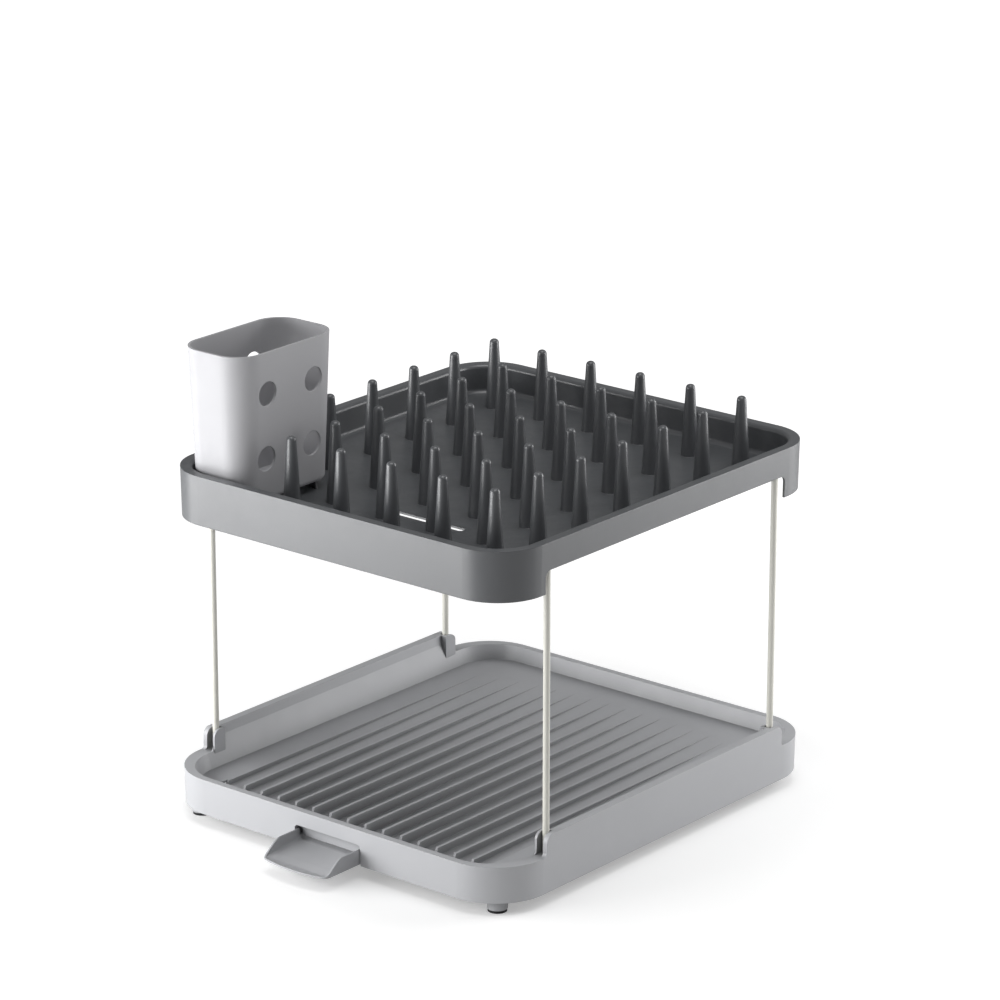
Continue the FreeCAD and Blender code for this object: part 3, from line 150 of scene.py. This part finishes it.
# Scoop of the spout, heights above the table and the wall's fall to the lip
SPOUT_UNDER = 10.5 * MM
SPOUT_TOP = 21.8 * MM
SPOUT_FALL_START = -178.0 * MM
SPOUT_FALL_RUN = 19.0 * MM
LIP_TOP = 11.75 * MM
LIP_EDGE = 0.25 * MM
SCOOP_FLOOR_REAR = 14.8 * MM
SCOOP_FLOOR_LIP = 11.45 * MM
SCOOP_FLOOR_RUN = 40.6 * MM

# Rounds of the scoop's walls: their radii, and the shares of the wall that they take up where it is low
EDGE_ROUND = 0.75 * MM
FILLET = 3.0 * MM
OUTER_SHARE = 0.35
INNER_SHARE = 0.4
FILLET_SHARE = 0.5
UNDER_SHARE = 0.5
ROUND_MIDDLE = 1 - math.sqrt(0.5)
SHARP_ANGLE = math.radians(40)

# Flanged plate behind the scoop
PLATE_HALF = 33.9 * MM
PLATE_FRONT = -158.09 * MM
PLATE_REAR = -126.0 * MM
PLATE_TOP = 14.5 * MM
PLATE_UNDER = 12.5 * MM
TONGUE_HALF = 28.0 * MM
TONGUE_FRONT = -161.0 * MM


def linear(tone):
    """A colour written as 0-255 sRGB, in the linear values that shaders take, by the sRGB curve."""
    result = []
    for value in tone:
        share = value / 255.0
        result.append(share / 12.92 if share <= 0.04045 else ((share + 0.055) / 1.055) ** 2.4)
    return tuple(result)


class Finish:
    """A material being built: its nodes, and the point of the surface that its noises read."""

    def __init__(self, name):
        self.material = bpy.data.materials.new(name)
        self.material.use_nodes = True
        self.tree = self.material.node_tree
        self.shader = self.tree.nodes["Principled BSDF"]
        self.place = self.add("ShaderNodeTexCoord").outputs["Object"]

    def add(self, kind, **settings):
        """A new node with the given settings."""
        node = self.tree.nodes.new(kind)
        for key, value in settings.items():
            setattr(node, key, value)
        return node

    def link(self, source, target):
        """Join an output to an input."""
        self.tree.links.new(source, target)

    def drive(self, source, socket):
        """Let an output set one value of the surface."""
        self.link(source, self.shader.inputs[socket])

    def set(self, socket, value):
        """Give one value of the surface."""
        self.shader.inputs[socket].default_value = value

    def noise(self, grain, detail=2.0, roughness=0.5):
        """Noise whose cells are about grain metres wide."""
        node = self.add("ShaderNodeTexNoise")
        self.link(self.place, node.inputs["Vector"])
        node.inputs["Scale"].default_value = 1.0 / grain
        node.inputs["Detail"].default_value = detail
        node.inputs["Roughness"].default_value = roughness
        return node.outputs["Fac"]

    def spread(self, source, low, high, start=NOISE_LOW, end=NOISE_HIGH):
        """Map what lies between start and end to the band from low to high."""
        node = self.add("ShaderNodeMapRange")
        self.link(source, node.inputs["Value"])
        node.inputs["From Min"].default_value = start
        node.inputs["From Max"].default_value = end
        node.inputs["To Min"].default_value = low
        node.inputs["To Max"].default_value = high
        return node.outputs["Result"]

    def mottle(self, source, tone, darker, lighter):
        """Colour that noise takes from a little darker than the tone to a little lighter."""
        node = self.add("ShaderNodeMix", data_type="RGBA")
        self.link(self.spread(source, 0.0, 1.0), node.inputs["Factor"])
        node.inputs["A"].default_value = (*linear([value - darker for value in tone]), 1.0)
        node.inputs["B"].default_value = (*linear([value + lighter for value in tone]), 1.0)
        return node.outputs["Result"]

    def paint_recess_shade(self, colour, strength):
        """Painted shade: darken the colour where the surface lies in a groove or a corner."""
        open_share = self.add("ShaderNodeAmbientOcclusion", samples=RECESS_SHADE_SAMPLES, only_local=True)
        open_share.inputs["Distance"].default_value = RECESS_SHADE_REACH
        shade = self.spread(open_share.outputs["AO"], 1.0 - strength, 1.0, RECESS_SHADE_CLOSED, RECESS_SHADE_OPEN)
        node = self.add("ShaderNodeVectorMath", operation="SCALE")
        self.link(colour, node.inputs[0])
        self.link(shade, node.inputs["Scale"])
        return node.outputs["Vector"]

    def relief(self, layers, edge_radius):
        """Fine relief over softened edges; each layer is noise, height in metres."""
        normal = None
        if edge_radius:
            bevel = self.add("ShaderNodeBevel", samples=EDGE_SAMPLES)
            bevel.inputs["Radius"].default_value = edge_radius
            normal = bevel.outputs["Normal"]
        for source, height in layers:
            bump = self.add("ShaderNodeBump")
            bump.inputs["Strength"].default_value = 1.0
            bump.inputs["Distance"].default_value = height
            self.link(source, bump.inputs["Height"])
            if normal is not None:
                self.link(normal, bump.inputs["Normal"])
            normal = bump.outputs["Normal"]
        self.drive(normal, "Normal")


def moulded_plastic(name, tone, roughness, sheen, edge_radius, recess_shade=0.0):
    """Satin plastic: even colour, spark-eroded grain, slow flow marks and, if asked, painted shade in
    recesses.
    """
    finish = Finish(name)
    flow = finish.noise(FLOW_SIZE, detail=3.0)
    colour = finish.mottle(flow, tone, PLASTIC_SHIFT, PLASTIC_SHIFT)
    # Painted shade: the base colour darkens in grooves and corners, standing in for their shade
    if recess_shade:
        colour = finish.paint_recess_shade(colour, recess_shade)
    finish.drive(colour, "Base Color")
    smear = finish.noise(SMEAR_SIZE, detail=4.0, roughness=SMEAR_ROUGHNESS)
    finish.drive(finish.spread(smear, roughness - SMEAR_SHINIER, roughness + SMEAR_DULLER), "Roughness")
    grain = finish.noise(GRAIN_SIZE)
    finish.relief([(flow, FLOW_HEIGHT), (grain, GRAIN_HEIGHT)], edge_radius)
    finish.set("Specular IOR Level", sheen)
    return finish.material


def coated_wire(name):
    """Smooth off-white coating on steel wire, slightly uneven as dipped coatings are."""
    finish = Finish(name)
    ripple = finish.noise(RIPPLE_SIZE, detail=1.0)
    finish.drive(finish.mottle(ripple, WIRE_TONE, RIPPLE_DARKER, RIPPLE_LIGHTER), "Base Color")
    finish.drive(finish.spread(ripple, WIRE_SHINY, WIRE_DULL), "Roughness")
    finish.relief([(ripple, RIPPLE_HEIGHT)], 0.0)
    finish.set("Coat Weight", COAT_WEIGHT)
    finish.set("Coat Roughness", COAT_ROUGHNESS)
    return finish.material


def rubber(name):
    """Matte rubber with a dusty grain."""
    finish = Finish(name)
    grain = finish.noise(PAD_GRAIN_SIZE, detail=3.0, roughness=PAD_GRAIN_ROUGHNESS)
    dust = finish.noise(DUST_SIZE, detail=3.0)
    finish.drive(finish.mottle(dust, PAD_TONE, DUST_DARKER, DUST_LIGHTER), "Base Color")
    finish.drive(finish.spread(grain, PAD_SHINY, PAD_DULL), "Roughness")
    finish.relief([(grain, PAD_GRAIN_HEIGHT)], PAD_EDGE)
    return finish.material


def make_finishes():
    """Every finish of the rack by its name."""
    finishes = {name: moulded_plastic(name, **look) for name, look in PLASTICS.items()}
    finishes["wire_coated"] = coated_wire("wire_coated")
    finishes["pad_rubber"] = rubber("pad_rubber")
    return finishes


def dress_nodes(finishes):
    """Give each node of the frame its finish."""
    for node, name in NODE_FINISH.items():
        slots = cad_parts[node].data.materials
        slots.clear()
        slots.append(finishes[name])


def lip_line(x):
    """How far forward the lip stands at x."""
    return LIP_Y + LIP_BOW * (x / SPOUT_HALF) ** 2


def corner_point(t):
    """A point of the curve that turns from the scoop's side, at 0, into its lip, at 1."""
    near, middle, far = (1 - t) ** 2, 2 * t * (1 - t), t * t
    x = near * SPOUT_HALF + middle * SPOUT_HALF + far * CORNER_END_X
    y = near * CORNER_START + middle * CORNER_CROWN + far * lip_line(CORNER_END_X)
    return (x, y)


def spout_outline():
    """The right half of the scoop's outline in plan, from the rear to the middle of the lip."""
    run = CORNER_START - SPOUT_REAR
    points = [(SPOUT_HALF, SPOUT_REAR + run * step / WALL_STEPS) for step in range(WALL_STEPS)]
    points += [corner_point(step / CORNER_STEPS) for step in range(CORNER_STEPS)]
    for step in range(LIP_STEPS + 1):
        x = CORNER_END_X * (1 - step / LIP_STEPS)
        points.append((x, lip_line(x)))
    return points


def outward(points, index):
    """Direction in plan that points out of the scoop at one point of its outline."""
    if index == len(points) - 1:
        return Vector((0, -1))
    before = points[max(index - 1, 0)]
    after = points[index + 1]
    along = Vector((after[0] - before[0], after[1] - before[1])).normalized()
    return Vector((-along.y, along.x))


def scoop_floor(y):
    """Height of the scoop's floor."""
    return SCOOP_FLOOR_REAR + (SCOOP_FLOOR_LIP - SCOOP_FLOOR_REAR) * (PLATE_FRONT - y) / SCOOP_FLOOR_RUN


def wall_height(y):
    """Height of the scoop's walls, which sweep down to the lip."""
    t = min(max((SPOUT_FALL_START - y) / SPOUT_FALL_RUN, 0.0), 1.0)
    swept = SPOUT_TOP + (LIP_TOP - SPOUT_TOP) * t * t * (3 - 2 * t)
    return max(swept, scoop_floor(y) + LIP_EDGE)


def wall_section(y):
    """The wall at y, from its foot outside over its top to the floor inside.

    Each point is its inset from the outline, its height, and whether that height counts from the floor.
    """
    top = wall_height(y)
    stand = top - scoop_floor(y)
    outer = min(EDGE_ROUND, OUTER_SHARE * (top - SPOUT_UNDER))
    inner = min(EDGE_ROUND, INNER_SHARE * stand)
    foot = min(FILLET, FILLET_SHARE * stand)
    under = UNDER_SHARE * outer
    return [
        (under, SPOUT_UNDER, False),
        (0.0, SPOUT_UNDER + under, False),
        (0.0, top - outer, False),
        (ROUND_MIDDLE * outer, top - ROUND_MIDDLE * outer, False),
        (outer, top, False),
        (SPOUT_WALL - inner, top, False),
        (SPOUT_WALL - ROUND_MIDDLE * inner, top - ROUND_MIDDLE * inner, False),
        (SPOUT_WALL, top - inner, False),
        (SPOUT_WALL, foot, True),
        (SPOUT_WALL + ROUND_MIDDLE * foot, ROUND_MIDDLE * foot, True),
        (SPOUT_WALL + foot, 0.0, True),
    ]


def scoop_rings():
    """The wall's section at each point of the outline, from the left rear round the lip to the right."""
    outline = spout_outline()
    rings = []
    for index, (x, y) in enumerate(outline):
        side = outward(outline, index)
        ring = []
        for inset, height, on_floor in wall_section(y):
            place = Vector((x, y)) - side * inset
            ground = scoop_floor(place.y) if on_floor else 0.0
            ring.append((place.x, place.y, height + ground))
        rings.append(ring)
    mirrored = [[(-x, y, z) for x, y, z in ring] for ring in rings[:-1]]
    return mirrored + rings[::-1]


def add_scoop(vertices, faces):
    """The scoop: walls and lip swept round the outline, floor and underside across it."""
    rings = scoop_rings()
    count = len(rings[0])
    last = len(rings) - 1
    start = len(vertices)
    for ring in rings:
        vertices.extend(ring)

    # Walls and lip
    for row in range(last):
        for k in range(count - 1):
            corner = start + row * count + k
            faces.append((corner, corner + 1, corner + count + 1, corner + count))

    # Underside, at each section's first point, and floor, at its last
    for row in range(last // 2):
        across = (row, row + 1, last - row - 1, last - row)
        for k, turned in ((0, False), (count - 1, True)):
            strip = list(dict.fromkeys(start + ring * count + k for ring in across))
            faces.append(tuple(reversed(strip)) if turned else tuple(strip))

    # Rear end
    cap = [start + k for k in range(count)]
    cap += [start + last * count + k for k in reversed(range(count))]
    faces.append(tuple(reversed(cap)))


def add_plate(vertices, faces):
    """The flanged plate behind the scoop, that runs in the rails."""
    right = [(TONGUE_HALF, TONGUE_FRONT), (TONGUE_HALF, PLATE_FRONT)]
    right += [(PLATE_HALF, PLATE_FRONT), (PLATE_HALF, PLATE_REAR)]
    outline = [(-x, y) for x, y in reversed(right)] + right
    start = len(vertices)
    count = len(outline)
    vertices.extend((x, y, PLATE_UNDER) for x, y in outline)
    vertices.extend((x, y, PLATE_TOP) for x, y in outline)
    faces.append(tuple(start + k for k in reversed(range(count))))
    faces.append(tuple(start + count + k for k in range(count)))
    for k in range(count):
        following = (k + 1) % count
        faces.append((start + k, start + following, start + count + following, start + count + k))


def make_spout(material):
    """The shown spout, in place of its plainer solid: a bowed, round-cornered lip and swept walls."""
    vertices, faces = [], []
    add_scoop(vertices, faces)
    add_plate(vertices, faces)
    mesh = bpy.data.meshes.new("spout_scoop")
    mesh.from_pydata(vertices, [], faces)
    mesh.validate()
    shape = bmesh.new()
    shape.from_mesh(mesh)
    bmesh.ops.recalc_face_normals(shape, faces=shape.faces)
    shape.to_mesh(mesh)
    shape.free()
    mesh.shade_smooth()
    mesh.set_sharp_from_angle(angle=SHARP_ANGLE)
    mesh.materials.append(material)
    item = bpy.data.objects.new("spout_scoop", mesh)
    bpy.context.scene.collection.objects.link(item)
    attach(item, "spout")
    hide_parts("drain_spout")


def floor_material():
    """Pale floor that shows white to the camera and keeps the object's shadow."""
    finish = Finish("floor")
    finish.set("Base Color", (FLOOR_GREY, FLOOR_GREY, FLOOR_GREY, 1.0))
    finish.set("Roughness", FLOOR_ROUGHNESS)
    finish.set("Specular IOR Level", 0.0)
    rays = finish.add("ShaderNodeLightPath")
    glow = finish.add("ShaderNodeEmission")
    glow.inputs["Color"].default_value = WHITE
    distance = finish.add("ShaderNodeVectorMath", operation="LENGTH")
    finish.link(finish.place, distance.inputs[0])
    rise = finish.spread(distance.outputs["Value"], FLOOR_LIFT_NEAR, FLOOR_LIFT_FAR, NEAR_FLOOR, FAR_FLOOR)
    lift = finish.add("ShaderNodeMath", operation="MULTIPLY")
    finish.link(rays.outputs["Is Camera Ray"], lift.inputs[0])
    finish.link(rise, lift.inputs[1])
    finish.link(lift.outputs[0], glow.inputs["Strength"])
    both = finish.add("ShaderNodeAddShader")
    finish.link(finish.shader.outputs["BSDF"], both.inputs[0])
    finish.link(glow.outputs["Emission"], both.inputs[1])
    finish.link(both.outputs["Shader"], finish.tree.nodes["Material Output"].inputs["Surface"])
    return finish.material


def make_floor():
    """A plain pale floor, a square round the origin."""
    turns = ((-1, -1), (1, -1), (1, 1), (-1, 1))
    mesh = bpy.data.meshes.new("floor")
    mesh.from_pydata([(x * FLOOR_HALF, y * FLOOR_HALF, 0) for x, y in turns], [], [(0, 1, 2, 3)])
    mesh.materials.append(floor_material())
    floor = bpy.data.objects.new("floor", mesh)
    bpy.context.scene.collection.objects.link(floor)


def soft_box(name, azimuth, reach, height, size, power):
    """A soft box that stands reach metres from the rack and faces it; size is width and height."""
    lamp = bpy.data.lights.new(name, "AREA")
    lamp.shape = "RECTANGLE"
    lamp.size, lamp.size_y = size
    lamp.energy = power
    item = bpy.data.objects.new(name, lamp)
    turn = math.radians(azimuth)
    item.location = RACK_MIDDLE + Vector((math.sin(turn) * reach, -math.cos(turn) * reach, height))
    toward_rack = RACK_MIDDLE + Vector((0, 0, LAMP_AIM)) - item.location
    item.rotation_euler = toward_rack.to_track_quat("-Z", "Y").to_euler()
    item.visible_camera = False
    bpy.context.scene.collection.objects.link(item)


def make_lamps():
    """Two soft boxes on the floor, where the front and the right faces mirror them, and a weak top light."""
    soft_box("key", azimuth=-37, reach=0.85, height=0.26, size=(0.90, 0.52), power=8.6)
    soft_box("partner", azimuth=144, reach=0.90, height=0.38, size=(0.66, 0.72), power=6.2)
    soft_box("top", azimuth=60, reach=0.3, height=2.4, size=(1.6, 1.6), power=20)


def make_world():
    """White for what the camera sees, also through clear things, and a weak even light for the rest."""
    world = bpy.data.worlds.new("studio")
    world.use_nodes = True
    bpy.context.scene.world = world
    nodes = world.node_tree.nodes
    links = world.node_tree.links
    rays = nodes.new("ShaderNodeLightPath")
    seen = nodes.new("ShaderNodeMath")
    seen.operation = "MAXIMUM"
    links.new(rays.outputs["Is Camera Ray"], seen.inputs[0])
    links.new(rays.outputs["Is Transmission Ray"], seen.inputs[1])
    level = nodes.new("ShaderNodeMapRange")
    level.inputs["To Min"].default_value = AMBIENT
    level.inputs["To Max"].default_value = 1.0
    links.new(seen.outputs[0], level.inputs["Value"])
    background = nodes["Background"]
    background.inputs["Color"].default_value = WHITE
    links.new(level.outputs["Result"], background.inputs["Strength"])


def make_camera():
    """The camera at the photograph's viewpoint."""
    view = bpy.data.cameras.new("camera")
    view.lens = CAMERA_LENS
    view.sensor_width = SENSOR_WIDTH
    view.clip_end = FARTHEST_SEEN
    camera = bpy.data.objects.new("camera", view)
    toward_camera = Vector((
        math.sin(CAMERA_AZIMUTH) * math.cos(CAMERA_ELEVATION),
        -math.cos(CAMERA_AZIMUTH) * math.cos(CAMERA_ELEVATION),
        math.sin(CAMERA_ELEVATION),
    ))
    camera.rotation_mode = "QUATERNION"
    level_turn = (-toward_camera).to_track_quat("-Z", "Y")
    camera.rotation_quaternion = level_turn @ Matrix.Rotation(CAMERA_ROLL, 3, "Z").to_quaternion()
    camera.location = AIM_POINT + toward_camera * CAMERA_DISTANCE
    bpy.context.scene.collection.objects.link(camera)
    bpy.context.scene.camera = camera
    bpy.context.scene.view_settings.view_transform = "Standard"


all_finishes = make_finishes()
dress_nodes(all_finishes)
make_spout(all_finishes["spout_light"])
make_floor()
make_lamps()
make_world()
make_camera()
